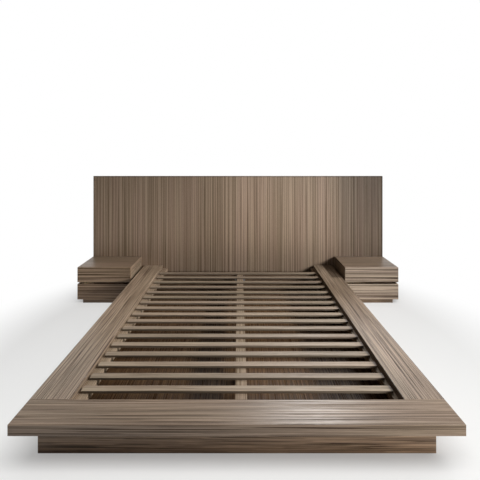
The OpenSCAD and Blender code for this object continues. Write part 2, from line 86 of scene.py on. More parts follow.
# %% [markdown]
# ## A small kit for node trees
# Each finish below is a tree of shader nodes, and the slats and screws are trees of geometry
# nodes. Making nodes and links takes many calls in Python, so this helper keeps a tree and adds a
# node, sets its sockets and joins it in one line. A socket can be given a number, a colour or the
# output of another node. The nodes that are needed most get a short name of their own.

# %% A helper that builds trees
class Tree:
    def __init__(self, tree):
        self.tree = tree

    def set(self, socket, value):
        if isinstance(value, bpy.types.NodeSocket):
            self.tree.links.new(value, socket)
        else:
            socket.default_value = value

    def add(self, kind, sockets=None, **settings):
        made = self.tree.nodes.new(kind)
        for name, value in settings.items():
            setattr(made, name, value)
        for name, value in (sockets or {}).items():
            self.set(made.inputs[name], value)
        return made

    def math(self, operation, a, b=0.0, c=0.0):
        return self.add("ShaderNodeMath", {0: a, 1: b, 2: c}, operation=operation).outputs[0]

    def product(self, result, *factors):
        for factor in factors:
            result = self.math("MULTIPLY", result, factor)
        return result

    def ramp(self, value, low, high, to_low=0.0, to_high=1.0):
        sockets = {"Value": value, "From Min": low, "From Max": high, "To Min": to_low, "To Max": to_high}
        return self.add("ShaderNodeMapRange", sockets, interpolation_type="SMOOTHSTEP").outputs["Result"]

    def vector(self, **sockets):
        return self.add("ShaderNodeCombineXYZ", sockets).outputs[0]

    def place(self):
        """The point's X, Y and Z in metres."""
        point = self.add("ShaderNodeTexCoord").outputs["Object"]
        return self.add("ShaderNodeSeparateXYZ", {0: point}).outputs

    def facing(self):
        """The X, Y and Z of the direction that the face looks in."""
        normal = self.add("ShaderNodeNewGeometry").outputs["True Normal"]
        return self.add("ShaderNodeSeparateXYZ", {0: normal}).outputs

    def mix(self, factor, a, b, blend="MIX"):
        """The Mix node has sockets for numbers, vectors and colours. These are the ones for colours."""
        made = self.add("ShaderNodeMix", data_type="RGBA", blend_type=blend)
        for socket, value in ((made.inputs[0], factor), (made.inputs[6], a), (made.inputs[7], b)):
            self.set(socket, value)
        return made.outputs[2]

    def scale_colour(self, colour, factor):
        grey = self.add("ShaderNodeCombineColor", {0: factor, 1: factor, 2: factor}).outputs[0]
        return self.mix(1.0, colour, grey, blend="MULTIPLY")


def new_material(name):
    material = bpy.data.materials.new(name)
    material.use_nodes = True
    material.node_tree.nodes.clear()
    return material, Tree(material.node_tree)


def srgb(red, green, blue):
    """A colour written from 0 to 255, as on a screen, in the linear numbers that Blender wants."""
    def linear(value):
        value /= 255
        return value / 12.92 if value <= 0.04045 else ((value + 0.055) / 1.055) ** 2.4
    return (linear(red), linear(green), linear(blue), 1.0)


print("helper ready")

# %% [markdown]
# ## Which way the grain runs
# The real veneer is cut from a glued block of thin dyed leaves, so its grain is a set of long,
# nearly straight stripes. On the bed they run upright on the headboard, lengthwise on the side rails
# and crosswise on nearly everything else. A photograph of veneer would be one way to make it. Noise
# that is stretched along the grain gives the same stripes at any size, with no seams, so that is used
# here. Each layer of stripes needs two coordinates: across the stripes and along them. Adding the two
# directions that the grain doesn't follow makes the stripes run on round an edge, from the top of
# a rail down its front. A face that is square to the grain is an edge band, and its stripes follow
# its length instead.

# %% Coordinates across and along the grain
# The first direction always runs across the stripes. The second does so too, but not on an edge band.
KEPT_AND_SPARE = {"X": ("Z", "Y"), "Y": ("Z", "X"), "Z": ("Y", "X")}
SQUARE_TO_GRAIN = 0.7  # the part of a face's normal that lies along the grain


def grain_coordinates(t, grain):
    """Two coordinates in metres: across the stripes, and along them."""
    kept, spare = KEPT_AND_SPARE[grain]
    place = t.place()
    band = t.math("GREATER_THAN", t.math("ABSOLUTE", t.facing()[grain]), SQUARE_TO_GRAIN)
    across = t.math("MULTIPLY_ADD", place[spare], t.math("SUBTRACT", 1.0, band), place[kept])
    along = t.math("MULTIPLY_ADD", place[spare], band, place[grain])
    return across, along


def stripes(t, across, along, wide_mm, long_mm, shift):
    """Noise between 0 and 1 whose blobs are drawn out into stripes of that width and length."""
    point = t.vector(X=t.math("MULTIPLY_ADD", across, 1000 / wide_mm, shift),
                     Y=t.math("MULTIPLY_ADD", along, 1000 / long_mm, 1.7 * shift))
    sockets = {"Vector": point, "Scale": 1.0, "Detail": 1.0, "Roughness": 0.5}
    return t.add("ShaderNodeTexNoise", sockets, noise_dimensions="2D").outputs["Fac"]


print("grain directions:", len(KEPT_AND_SPARE))

# %% [markdown]
# ## The stripes of the veneer
# One veneer has six layers, from broad to fine: drifts between a pinkish and an olive brown, soft
# streaks, darker streaks, thin dark lines, thin light lines, and fibres. A seventh noise gathers the
# dark lines in groups. A slow sway bends all of them together, as a saw cut that wanders a little
# would. Each layer is the same noise at another width and length, so one short table holds them all.

# %% Draw the layers
SWAY_WIDE_MM, SWAY_LONG_MM, SWAY = 150, 900, 0.006
PLANK_SPREAD = 3.0  # over how many metres of the noise the slats are spread


def stripe_layers(t, grain, shift, size, stretch, own_tone=None):
    """Every layer of the figure, as noise between 0 and 1."""
    across, along = grain_coordinates(t, grain)
    if own_tone is not None:
        across = t.math("MULTIPLY_ADD", own_tone, PLANK_SPREAD, across)
    sway = stripes(t, across, along, SWAY_WIDE_MM, SWAY_LONG_MM * stretch, shift)
    across = t.math("MULTIPLY_ADD", t.math("SUBTRACT", sway, 0.5), SWAY, across)
    # The width and the length of the stripes in millimetres, and the layer's own shift in the noise.
    layers = {
        "drift": (110 * size, 1600, 1),
        "streaks": (6.5 * size, 900 * stretch, 5),
        "soft streaks": (14 * size, 700 * stretch, 17),
        "lines": (3.6 * size, 420 * stretch, 9),
        "groups": (40 * size, 700 * stretch, 21),
        "pale lines": (4.0 * size, 380 * stretch, 29),
        "fibres": (1.1, 40, 13)}
    return {layer: stripes(t, across, along, wide_mm, long_mm, shift + own_shift)
            for layer, (wide_mm, long_mm, own_shift) in layers.items()}


print("stripe layers ready")

# %% [markdown]
# ## The veneer
# The layers are laid over each other like paint. The noise lies round 0.5, so a narrow ramp there
# turns it into crisp stripes and a wide one into soft drifts. The dark lines are open pores, so they
# also sink a little and shine less. The corners of the boards are painted slightly paler, as a painted
# highlight where eased corners catch the light. A bevel node finds them without changing the mesh: it
# rounds the normal near a corner, and where the rounded normal has turned away from the real one,
# there is a corner.
# The same recipe makes every wooden finish, with other colours and other widths.

# %% Write the veneer
OLIVE = (0.985, 1.0, 0.965, 1.0)
PINKISH = (1.015, 0.995, 0.995, 1.0)
# The width of the painted highlight along the corners of the boards.
CORNER_HIGHLIGHT_RADIUS = 0.003


def paler(colour, factor):
    return tuple(min(1.0, factor * v) for v in colour[:3]) + (1.0,)


def painted_corner_highlight(t):
    """Painted highlight: 0.0 on the faces, rising to 0.45 at the corners of a board."""
    rounded = t.add("ShaderNodeBevel", {"Radius": CORNER_HIGHLIGHT_RADIUS}, samples=4).outputs[0]
    real = t.add("ShaderNodeNewGeometry").outputs["Normal"]
    same = t.add("ShaderNodeVectorMath", {0: rounded, 1: real}, operation="DOT_PRODUCT").outputs["Value"]
    return t.ramp(same, 0.98, 0.80, 0.0, 0.45)


def veneer(name, grain, light, dark, line, roughness=0.36, specular=0.5, shift=0.0, size=1.0,
           stretch=1.0, contrast=1.0, extra_tone=None, tone_from=None):
    material, t = new_material(name)
    own_tone = t.add("ShaderNodeAttribute", attribute_name=tone_from).outputs["Fac"] if tone_from else None
    layer = stripe_layers(t, grain, shift, size, stretch, own_tone)

    colour = t.mix(t.ramp(layer["streaks"], 0.43, 0.57), dark, light)
    olive = t.mix(1.0, colour, OLIVE, blend="MULTIPLY")
    pinkish = t.mix(1.0, colour, PINKISH, blend="MULTIPLY")
    colour = t.mix(t.ramp(layer["drift"], 0.38, 0.62), olive, pinkish)
    colour = t.mix(t.product(t.ramp(layer["soft streaks"], 0.54, 0.70), 0.5 * contrast), colour, dark)
    pores = t.product(t.ramp(layer["lines"], 0.53, 0.58), t.ramp(layer["groups"], 0.36, 0.60, 0.55, 1.0))
    colour = t.mix(t.product(pores, 0.90 * contrast), colour, line)
    pale_lines = t.product(t.ramp(layer["pale lines"], 0.56, 0.62), 0.60 * contrast)
    colour = t.mix(pale_lines, colour, paler(light, 1.45))
    colour = t.scale_colour(colour, t.ramp(layer["fibres"], 0.35, 0.65, 0.93, 1.06))
    if own_tone is not None:
        colour = t.scale_colour(colour, t.ramp(own_tone, 0.0, 1.0, 0.86, 1.12))
    if extra_tone:
        colour = t.scale_colour(colour, extra_tone(t))
    # Painted highlight: the corners are mixed towards a paler colour.
    colour = t.mix(painted_corner_highlight(t), colour, paler(light, 1.7))

    fibre_gloss = t.ramp(layer["fibres"], 0.3, 0.7, roughness + 0.05, roughness - 0.03)
    relief = t.math("SUBTRACT", layer["fibres"], t.product(pores, 0.8))
    bump = t.add("ShaderNodeBump", {"Height": relief, "Strength": 0.25, "Distance": 0.0004})
    shader = t.add("ShaderNodeBsdfPrincipled", {
        "Base Color": colour, "Normal": bump.outputs[0], "IOR": 1.5,
        "Roughness": t.math("ADD", fibre_gloss, t.product(pores, 0.08)),
        "Specular IOR Level": t.math("MULTIPLY_ADD", pores, -0.25, specular)})
    t.add("ShaderNodeOutputMaterial", {"Surface": shader.outputs[0]})
    return material


print("veneer recipe ready")

# %% [markdown]
# ## Five veneers, and their painted light and shade
# The foot rail, the side rails and the tops of the nightstands are cut from different sheets, so each
# gets its own tone. The fronts of both nightstands are one veneer in two copies: the left one is painted
# darker, as painted shade, and the right one lighter, as painted light. The stripes of the fronts are
# wider and longer. A tone is a number that the colour is multiplied with. It can depend on where a
# point lies and on how its face is turned. On the side rails and the nightstands' sides it is painted
# light and shade: those on the left are painted lighter than those on the right, the rails are painted
# darker near the foot, and faces that look right, into the light, are painted darker.

# %% Mix the veneers
THIN_LINE = srgb(58, 42, 29)


def painted_shade_facing(axis, sign, factor):
    """Painted shade: darkens the faces that look along one axis."""
    def tone(t):
        return t.ramp(t.math("MULTIPLY", t.facing()[axis], sign), 0.5, 0.9, 1.0, factor)
    return tone


def rails_painted_light_and_shade(t):
    """Painted light and shade: lighter on the left than on the right, darker near the foot and on faces that
    look right.
    """
    place = t.place()
    painted_lighter_to_left = t.ramp(place["X"], -0.5, 0.5, 1.08, 0.94)
    painted_shade_near_foot = t.ramp(place["Y"], -0.95, -0.5, 0.89, 1.0)
    return t.product(painted_lighter_to_left, painted_shade_near_foot, painted_shade_facing("X", 1.0, 0.72)(t))


veneer_along_x = veneer(
    "veneer_across_the_bed", "X", srgb(132, 114, 96), srgb(102, 84, 67), THIN_LINE,
    specular=0.43, shift=8.0, stretch=2.0, contrast=1.05)
# The side rails and the sides of the nightstands get painted light and shade as well.
veneer_along_y = veneer(
    "veneer_along_the_bed", "Y", srgb(144, 126, 108), srgb(110, 92, 75), THIN_LINE,
    shift=3.0, size=1.15, stretch=1.6, contrast=1.15, extra_tone=rails_painted_light_and_shade)
# The fronts of both nightstands are one veneer: the left copy is painted darker, as painted shade.
left_fronts_painted_shade = veneer(
    "veneer_of_the_left_fronts_painted_shade", "X", srgb(147, 124, 102), srgb(104, 83, 64), THIN_LINE,
    specular=0.3, shift=2.0, size=1.7, stretch=4.0, contrast=1.4)
# The right copy is painted lighter, as painted light.
right_fronts_painted_light = veneer(
    "veneer_of_the_right_fronts_painted_light", "X", srgb(162, 145, 128), srgb(120, 103, 87), THIN_LINE,
    specular=0.4, shift=6.0, size=1.7, stretch=4.0, contrast=1.4)
stand_tops = veneer(
    "veneer_of_the_tops", "X", srgb(122, 104, 87), srgb(104, 87, 72), THIN_LINE,
    shift=4.0, size=1.7, contrast=0.35)
print("veneers:", len([m for m in bpy.data.materials if m.name.startswith("veneer_")]))

# %% [markdown]
# ## The headboard's lipping
# A veneered panel has its raw edge covered by a thin strip of solid wood, called a lipping. It is
# stained with the panel but takes more stain, so it frames the headboard as a thin dark line. In the
# material it is a question of distance: how far is this point from the top and from the ends?
# The panel is covered by leaves of veneer, side by side. Its ends carry painted light and shade: the
# right end is painted darker and the left end lighter. Near the deck the panel is painted darker, as
# painted shade.

# %% Write the headboard's veneer
LIPPING_WIDE = 0.012
LIPPING_BLEND = 0.002
board_low, board_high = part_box("headboard_panel")


def lipping_with_painted_light_and_shade(t):
    """The lipping, multiplied with painted light and shade: a darker right end, a lighter left end and a
    darker strip over the deck.
    """
    place = t.place()
    from_end = t.math("SUBTRACT", board_high.x, t.math("ABSOLUTE", place["X"]))
    from_top = t.math("SUBTRACT", board_high.z, place["Z"])
    from_edge = t.math("MINIMUM", from_end, from_top)
    lipping = t.ramp(from_edge, LIPPING_WIDE - LIPPING_BLEND, LIPPING_WIDE, 0.55, 1.0)
    # Painted shade at the right end, painted light at the left end, and painted shade over the deck.
    painted_shade_right_end = t.ramp(place["X"], 1.00, 1.08, 1.03, 0.77)
    painted_light_left_end = t.ramp(place["X"], -1.12, -1.04, 1.10, 1.03)
    painted_shade_near_deck = t.ramp(place["Z"], 0.22, 0.60, 0.80, 1.0)
    return t.product(lipping, painted_shade_right_end, painted_light_left_end, painted_shade_near_deck)


veneer_upright = veneer(
    "veneer_upright", "Z", srgb(157, 136, 117), srgb(129, 109, 90), THIN_LINE,
    specular=0.3, size=1.35, stretch=5.0, contrast=0.6, extra_tone=lipping_with_painted_light_and_shade)
print("headboard:", [round(v, 3) for v in board_high - board_low])

# %% [markdown]
# ## Slats, plinth and hidden hardwood
# The slats, their bearers and the legs are stained like the veneer, but they are plainer and more
# matt, and the slats' front edges are painted darker, as painted shade. The plinth, and the bases and
# dividers of the nightstands, are veneered like the rails but painted darker, as painted shade. The
# bottom board is veneered in a deeper brown, with painted shade left of the beam and painted light
# right of it. Pieces that are hidden when the bed is made up, such as drawer boxes and battens, are a
# pale clear-lacquered hardwood.

# %% Write the other woods
BEARER_STAIN = (srgb(145, 127, 109), srgb(122, 105, 87), srgb(80, 64, 49))
HARDWOOD = (srgb(208, 181, 144), srgb(190, 160, 122), srgb(150, 118, 84))
UNDER_BEAM = (0.015, 0.025)


def bottom_painted_light_and_shade(t):
    """Painted shade on the bottom board left of the beam and painted light right of it, changing under the
    beam.
    """
    return t.ramp(t.place()["X"], *UNDER_BEAM, 0.86, 1.22)


# The slats' faces that look towards the foot are painted darker, as painted shade.
slat_finish = veneer(
    "slat_stain", "X", srgb(143, 127, 109), srgb(122, 106, 89), srgb(76, 61, 47), roughness=0.5,
    shift=3.0, contrast=0.6, tone_from="slat_tone", extra_tone=painted_shade_facing("Y", -1.0, 0.55))
bearer_finish = veneer(
    "bearer_stain", "Y", *BEARER_STAIN, roughness=0.5, specular=0.1, shift=7.0, contrast=0.6)
leg_finish = veneer(
    "leg_stain", "Z", *BEARER_STAIN, roughness=0.5, specular=0.1, shift=9.0, contrast=0.6)
# The plinth, the nightstands' bases and their dividers: the veneer painted darker, as painted shade.
painted_shade_across = veneer("veneer_across_painted_shade", "X", srgb(125, 103, 82), srgb(96, 76, 57), srgb(46, 33, 22))
painted_shade_along = veneer("veneer_along_painted_shade", "Y", srgb(122, 105, 89), srgb(94, 78, 64), srgb(50, 37, 26))
# The bottom board gets painted shade left of the beam and painted light right of it.
base_finish = veneer(
    "base_panel_veneer", "Y", srgb(93, 69, 46), srgb(68, 47, 29), srgb(32, 20, 11), roughness=0.5,
    specular=0.28, shift=5.0, contrast=0.5, extra_tone=bottom_painted_light_and_shade)
hardwood = {}
for k, grain in enumerate("XYZ"):
    hardwood[grain] = veneer(
        "hardwood_along_" + grain.lower(), grain, *HARDWOOD, roughness=0.45, shift=11.0 + 4 * k,
        size=1.6, contrast=0.35)
print("hardwood along:", list(hardwood))

# %% [markdown]
# ## Zinc
# The steel plates and bolts are zinc plated, which leaves a soft grey with cloudy patches. Two
# noises make it: a coarse one for the clouds, which shine a little differently as well, and a fine one
# for the grain of the rolled steel.

# %% Write the zinc
def zinc(name):
    material, t = new_material(name)
    place = t.add("ShaderNodeTexCoord").outputs["Object"]
    clouds = t.add("ShaderNodeTexNoise", {"Vector": place, "Scale": 60.0, "Detail": 4.0}).outputs["Fac"]
    rolled = t.add("ShaderNodeTexNoise", {"Vector": place, "Scale": 900.0, "Detail": 2.0}).outputs["Fac"]
    colour = t.mix(clouds, srgb(150, 152, 156), srgb(186, 188, 192))
    bump = t.add("ShaderNodeBump", {"Height": rolled, "Strength": 0.1, "Distance": 0.0002})
    shader = t.add("ShaderNodeBsdfPrincipled", {
        "Base Color": colour, "Metallic": 1.0, "Normal": bump.outputs[0],
        "Roughness": t.ramp(clouds, 0.3, 0.7, 0.38, 0.5)})
    t.add("ShaderNodeOutputMaterial", {"Surface": shader.outputs[0]})
    return material


zinc_finish = zinc("zinc_plate")
print("metal finish:", zinc_finish.name)

# %% [markdown]
# ## Which piece gets which finish
# A finish is chosen by what the piece is and by which way its grain runs. Naming all the pieces one by
# one would make a long list. Two short tables do it instead: most pieces of a nightstand are told by how
# their names end, and all the others by how they begin, where the longest beginning that fits wins.

# %% Dress the pieces
FINISH_BY_ENDING = {
    "back_panel": hardwood["X"],
    "bottom": hardwood["X"],
    "runners": hardwood["Y"],
    "inner_side": veneer_along_y,
    "outer_side": veneer_along_y,
    "_top": stand_tops,
    "base": painted_shade_across,
    "divider": painted_shade_across,
}
FINISH_BY_BEGINNING = {
    "foot_rail": veneer_along_x,
    "side_rail": veneer_along_y,
    "plinth_front": painted_shade_across,
    "plinth_back": painted_shade_across,
    "plinth_left": painted_shade_along,
    "plinth_right": painted_shade_along,
    "base_panel": base_finish,
    "plinth_blocks": hardwood["Z"],
    "ledger": bearer_finish,
    "centre_beam": bearer_finish,
    "centre_legs": leg_finish,
    "slat_": slat_finish,
    "headboard_panel": veneer_upright,
    "headboard_battens": hardwood["Z"],
    "nightstand_left": left_fronts_painted_shade,
    "nightstand_right": right_fronts_painted_light,
    "corner_plates": zinc_finish,
    "head_brackets": zinc_finish,
    "beam_hangers": zinc_finish,
    "connector_bolts": zinc_finish,
}


def finish_of(name):
    for ending, finish in FINISH_BY_ENDING.items():
        if name.endswith(ending):
            return finish
    fitting = [beginning for beginning in FINISH_BY_BEGINNING if name.startswith(beginning)]
    return FINISH_BY_BEGINNING[max(fitting, key=len)]


for name, piece in nodes.items():
    for material_slot in piece.material_slots:
        material_slot.material = finish_of(name)
print("dressed", len(nodes), "pieces in", len({finish_of(name).name for name in nodes}), "finishes")

# %% [markdown]
# ## Pieces glued up from several boards
# A drawer box has two long sides, a front and a back that are dovetailed together, and a bottom. In
# each board the grain follows the board's length, and that is what makes the dovetails show: the tails
# are side grain and the pins beside them are the ends of the other board. The frame holds such a box
# as one mesh. A copy of it is merged, split into its boards, and each board gets the finish whose
# grain runs along its longest side. The headboard's battens are done in the same way.

# %% Dress each board by its length
SAME_CORNER = 0.00002


def boards_of(mesh):
    """The faces of each separate board, as lists."""
    waiting = set(mesh.faces)
    while waiting:
        board, reached = [], [waiting.pop()]
        while reached:
            face = reached.pop()
            board.append(face)
            for near in (other for line in face.edges for other in line.link_faces):
                if near in waiting:
                    waiting.remove(near)
                    reached.append(near)
        yield board


def dress_by_board(node_name, body):
    copy = bpy.data.objects.new(node_name + "_boards", nodes[node_name].data.copy())
    bpy.context.scene.collection.objects.link(copy)
    copy.data.materials.clear()
    for grain in "XYZ":
        copy.data.materials.append(hardwood[grain])
    mesh = bmesh.new()
    mesh.from_mesh(copy.data)
    bmesh.ops.remove_doubles(mesh, verts=mesh.verts, dist=SAME_CORNER)
    count = 0
    for board in boards_of(mesh):
        corners = [corner.co for face in board for corner in face.verts]
        size = [max(c[k] for c in corners) - min(c[k] for c in corners) for k in range(3)]
        for face in board:
            face.material_index = size.index(max(size))
        count += 1
    mesh.to_mesh(copy.data)
    mesh.free()
    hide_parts(node_name)
    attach(copy, body)
    return count


for side in ("left", "right"):
    for level in ("lower", "upper"):
        found = dress_by_board(f"nightstand_{side}_{level}_drawer_box", f"{side}_{level}_drawer")
        print(side, level, "drawer box:", found, "boards")
print("headboard battens:", dress_by_board("headboard_battens", "bed"), "boards")

# %% [markdown]
# ## Helpers for geometry nodes
# The slats and the screws are repeats of one shape, so a tree of geometry nodes can lay them out by
# rule. These helpers start a tree with its inputs, end it with a finish, and run it. At the end of a
# tree the repeats are turned into real faces, so that each copy is a plain mesh and not only an
# instance.

# %% Start, finish and run a tree
def new_geometry_tree(name, inputs):
    group = bpy.data.node_groups.new(name, "GeometryNodeTree")
    for label, kind in inputs.items():
        group.interface.new_socket(label, in_out="INPUT", socket_type="NodeSocket" + kind)
    group.interface.new_socket("Geometry", in_out="OUTPUT", socket_type="NodeSocketGeometry")
    t = Tree(group)
    return group, t, t.add("NodeGroupInput").outputs


def finish_tree(t, geometry, material):
    real = t.add("GeometryNodeRealizeInstances", {"Geometry": geometry}).outputs[0]
    dressed = t.add("GeometryNodeSetMaterial", {"Geometry": real, "Material": material}).outputs[0]
    t.add("NodeGroupOutput", {0: dressed})


def grow(name, group, values, start=None):
    """Runs a tree on a mesh and keeps the result as a plain mesh."""
    piece = bpy.data.objects.new(name, start or bpy.data.meshes.new(name))
    bpy.context.scene.collection.objects.link(piece)
    modifier = piece.modifiers.new("tree", "NODES")
    modifier.node_group = group
    for item in group.interface.items_tree:
        if item.in_out == "INPUT" and item.name in values:
            modifier[item.identifier] = values[item.name]
    graph = bpy.context.evaluated_depsgraph_get()
    made = bpy.data.meshes.new_from_object(
        piece.evaluated_get(graph), preserve_all_data_layers=True, depsgraph=graph)
    piece.modifiers.clear()
    piece.data = made
    return piece


print("geometry helpers ready")

# %% [markdown]
# ## The row of slats
# Seventeen equal slats are a rule: a line of points along the bed, and one slat on each point. The
# last four, near the headboard, lie a little farther apart, and the tree moves their points on by
# the difference. A slat is a rounded outline drawn along a straight line. Each slat keeps a random
# number of its own, from 0 to 1, under the name slat_tone. The stain reads it, so that neighbours
# differ a little in tone and in figure, as boards from different planks do.

# %% The slat tree
def slat_places(t, given):
    """A point for each slat, evenly spaced at first and farther apart near the headboard."""
    even = t.add("GeometryNodeMeshLine", {
        "Count": given["Count"], "Start Location": given["First"],
        "Offset": t.vector(Y=given["Pitch"])}, mode="OFFSET").outputs[0]
    foot_count = t.math("SUBTRACT", given["Count"], given["Head count"])
    number = t.math("ADD", t.add("GeometryNodeInputIndex").outputs[0], 1.0)
    steps = t.math("MAXIMUM", t.math("SUBTRACT", number, foot_count), 0.0)
    extra = t.product(steps, t.math("SUBTRACT", given["Head pitch"], given["Pitch"]))
    return t.add("GeometryNodeSetPosition", {"Geometry": even, "Offset": t.vector(Y=extra)}).outputs[0]


def slat_tree():
    group, t, given = new_geometry_tree("slat_row", {
        "Count": "Int", "Head count": "Int", "First": "Vector", "Pitch": "Float", "Head pitch": "Float",
        "Length": "Float", "Width": "Float", "Thickness": "Float", "Edge radius": "Float", "Seed": "Int",
        "Finish": "Material"})
    half = t.product(given["Length"], 0.5)
    line = t.add("GeometryNodeCurvePrimitiveLine", {
        "Start": t.vector(X=t.product(half, -1.0)), "End": t.vector(X=half)}).outputs[0]
    outline = t.add("GeometryNodeCurvePrimitiveQuadrilateral", {
        "Width": given["Width"], "Height": given["Thickness"]}).outputs[0]
    eased = t.add("GeometryNodeFilletCurve", {
        "Curve": outline, "Radius": given["Edge radius"], "Count": 4, "Limit Radius": True},
        mode="POLY").outputs[0]
    slat = t.add("GeometryNodeCurveToMesh", {
        "Curve": line, "Profile Curve": eased, "Fill Caps": True}).outputs[0]
    row = t.add("GeometryNodeInstanceOnPoints", {
        "Points": slat_places(t, given), "Instance": slat}).outputs[0]
    own = t.add("FunctionNodeRandomValue", {2: 0.0, 3: 1.0, "Seed": given["Seed"]},
                data_type="FLOAT").outputs[1]
    toned = t.add("GeometryNodeStoreNamedAttribute", {
        "Geometry": row, "Name": "slat_tone", "Value": own},
        data_type="FLOAT", domain="INSTANCE").outputs[0]
    finish_tree(t, toned, given["Finish"])
    return group


print("slat tree ready")

# %% [markdown]
# The tree's inputs are measured on the slats of the frame, so the row lies exactly where they lie.

# %% Lay the slats
SLAT_EDGE_RADIUS = 0.002
SLAT_SEED = 4
CLEARLY_WIDER = 0.001

slat_names = sorted(name for name in nodes if name.startswith("slat_"))
slat_low, slat_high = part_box(slat_names[0])
slat_size = slat_high - slat_low
starts = [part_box(name)[0].y for name in slat_names]
spaces = [after - before for before, after in zip(starts, starts[1:])]
wide_spaces = [space for space in spaces if space > spaces[0] + CLEARLY_WIDER]
slat_row = grow("slat_row", slat_tree(), {
    "Count": len(slat_names), "Head count": len(wide_spaces), "First": list((slat_low + slat_high) / 2),
    "Pitch": spaces[0], "Head pitch": spaces[-1], "Length": slat_size.x, "Width": slat_size.y,
    "Thickness": slat_size.z, "Edge radius": SLAT_EDGE_RADIUS, "Seed": SLAT_SEED, "Finish": slat_finish})
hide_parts(*slat_names)
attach(slat_row, "bed")
corners = [corner.co for corner in slat_row.data.vertices]
print("slats:", len(slat_names), "faces:", len(slat_row.data.polygons),
      "from", [round(min(c[k] for c in corners), 4) for k in range(3)],
      "to", [round(max(c[k] for c in corners), 4) for k in range(3)])

# %% [markdown]
# ## The screws
# The steel plates, brackets and hangers are screwed on from below or from the side. Every screw is
# the same, so one tree makes it once and sets it on each point, turned to the way that the point
# faces. A low cone is the head, two crossed bars are cut out of it for the driver, and a short
# cylinder is the shank in the hole of the plate. No two screws stop at the same angle, so each is
# turned by a random amount.

# %% The screw tree
TOP_TO_HEAD = 0.72  # the flat top of the head, as a share of its radius
BAR_TO_RECESS = 0.28  # the width of a bar, as a share of its length


def screw_head(t, given):
    """A low cone with a cross cut into it."""
    head = t.add("GeometryNodeMeshCone", {
        "Vertices": 20, "Radius Top": t.product(given["Head radius"], TOP_TO_HEAD),
        "Radius Bottom": given["Head radius"], "Depth": given["Head height"]}).outputs["Mesh"]
    bars = []
    for turn in (0, math.radians(90)):
        size = t.vector(
            X=given["Recess"], Y=t.product(given["Recess"], BAR_TO_RECESS), Z=given["Head height"])
        bars.append(t.add("GeometryNodeTransform", {
            "Geometry": t.add("GeometryNodeMeshCube", {"Size": size}).outputs["Mesh"],
            "Rotation": (0, 0, turn), "Translation": t.vector(Z=given["Head height"])}).outputs[0])
    cut = t.add("GeometryNodeMeshBoolean", {"Mesh 1": head}, operation="DIFFERENCE")
    for bar in bars:
        t.tree.links.new(bar, cut.inputs["Mesh 2"])
    return cut.outputs["Mesh"]


def screw_shank(t, given):
    shank = t.add("GeometryNodeMeshCylinder", {
        "Vertices": 12, "Radius": given["Shank radius"], "Depth": given["Shank length"]}).outputs["Mesh"]
    low = t.product(given["Shank length"], -0.5)
    return t.add("GeometryNodeTransform", {"Geometry": shank, "Translation": t.vector(Z=low)}).outputs[0]


def screw_tree():
    group, t, given = new_geometry_tree("screws", {
        "Points": "Geometry", "Head radius": "Float", "Head height": "Float", "Shank radius": "Float",
        "Shank length": "Float", "Recess": "Float", "Seed": "Int", "Finish": "Material"})
    screw = t.add("GeometryNodeJoinGeometry")
    for part in (screw_shank(t, given), screw_head(t, given)):
        t.tree.links.new(part, screw.inputs[0])
    facing = t.add("GeometryNodeInputNamedAttribute", {"Name": "facing"}, data_type="FLOAT_VECTOR").outputs[0]
    turned = t.add("FunctionNodeAlignRotationToVector", {"Vector": facing}, axis="Z").outputs[0]
    row = t.add("GeometryNodeInstanceOnPoints", {
        "Points": given["Points"], "Instance": screw.outputs[0], "Rotation": turned}).outputs[0]
    angle = t.add("FunctionNodeRandomValue", {2: 0.0, 3: math.pi, "Seed": given["Seed"]},
                  data_type="FLOAT").outputs[1]
    row = t.add("GeometryNodeRotateInstances", {
        "Instances": row, "Rotation": t.vector(Z=angle), "Local Space": True}).outputs[0]
    finish_tree(t, row, given["Finish"])
    return group


print("screw tree ready")

# %% [markdown]
# The points come from the boxes of the steel pieces. A corner plate has a hole a third of its width
# and length from its middle, each way. The brackets at the head have two holes in each leg, and the
# hangers of the middle beam have four holes in their wings.

# %% Find the screws' places
PLATE_WIDE = 0.110
PLATE_THICK = 0.003
BRACKET_WIDE = 0.050
HANGER_THICK = 0.0025
HANGER_WING = 0.020
QUARTERS = (1 / 4, 3 / 4)
SIXTHS = (1 / 6, 5 / 6)

plate_low, plate_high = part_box("corner_plates")
bracket_low, bracket_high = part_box("head_brackets")
hanger_low, hanger_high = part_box("beam_hangers")
beam_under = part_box("centre_beam")[0].z
plate_middle = plate_high.x - PLATE_WIDE / 2
bracket_leg = bracket_high.z - bracket_low.z
bracket_hole = 2 * bracket_leg / 3
hanger_middle = (hanger_low.x + hanger_high.x) / 2
wing_middle = (hanger_high.x - hanger_low.x) / 2 - HANGER_WING / 2
wing_high = hanger_high.z - beam_under
screw_places = []
for side in (-1, 1):
    for x in (plate_middle - PLATE_WIDE / 3, plate_middle + PLATE_WIDE / 3):
        for share in SIXTHS:
            y = plate_low.y + share * (plate_high.y - plate_low.y)
            screw_places.append(((side * x, y, plate_low.z), (0, 0, -1)))
    for share in QUARTERS:
        x = side * (bracket_high.x - BRACKET_WIDE * share)
        up = (x, bracket_high.y - bracket_hole, bracket_high.z - PLATE_THICK)
        back = (x, bracket_high.y - PLATE_THICK, bracket_high.z - bracket_hole)
        screw_places += [(up, (0, 0, -1)), (back, (0, -1, 0))]
    for y, way in ((hanger_low.y + HANGER_THICK, 1), (hanger_high.y - HANGER_THICK, -1)):
        for share in QUARTERS:
            place = (hanger_middle + side * wing_middle, y, beam_under + share * wing_high)
            screw_places.append((place, (0, way, 0)))
print("screw places:", len(screw_places))

# %% [markdown]
# Each place becomes a point that remembers which way its screw faces. The sizes are those of a
# common wood screw for a 5 mm hole.

# %% Set the screws
SCREW_SIZE = {
    "Head radius": 0.0045, "Head height": 0.0024, "Shank radius": 0.0021, "Shank length": 0.0024,
    "Recess": 0.0048}
SCREW_SEED = 7

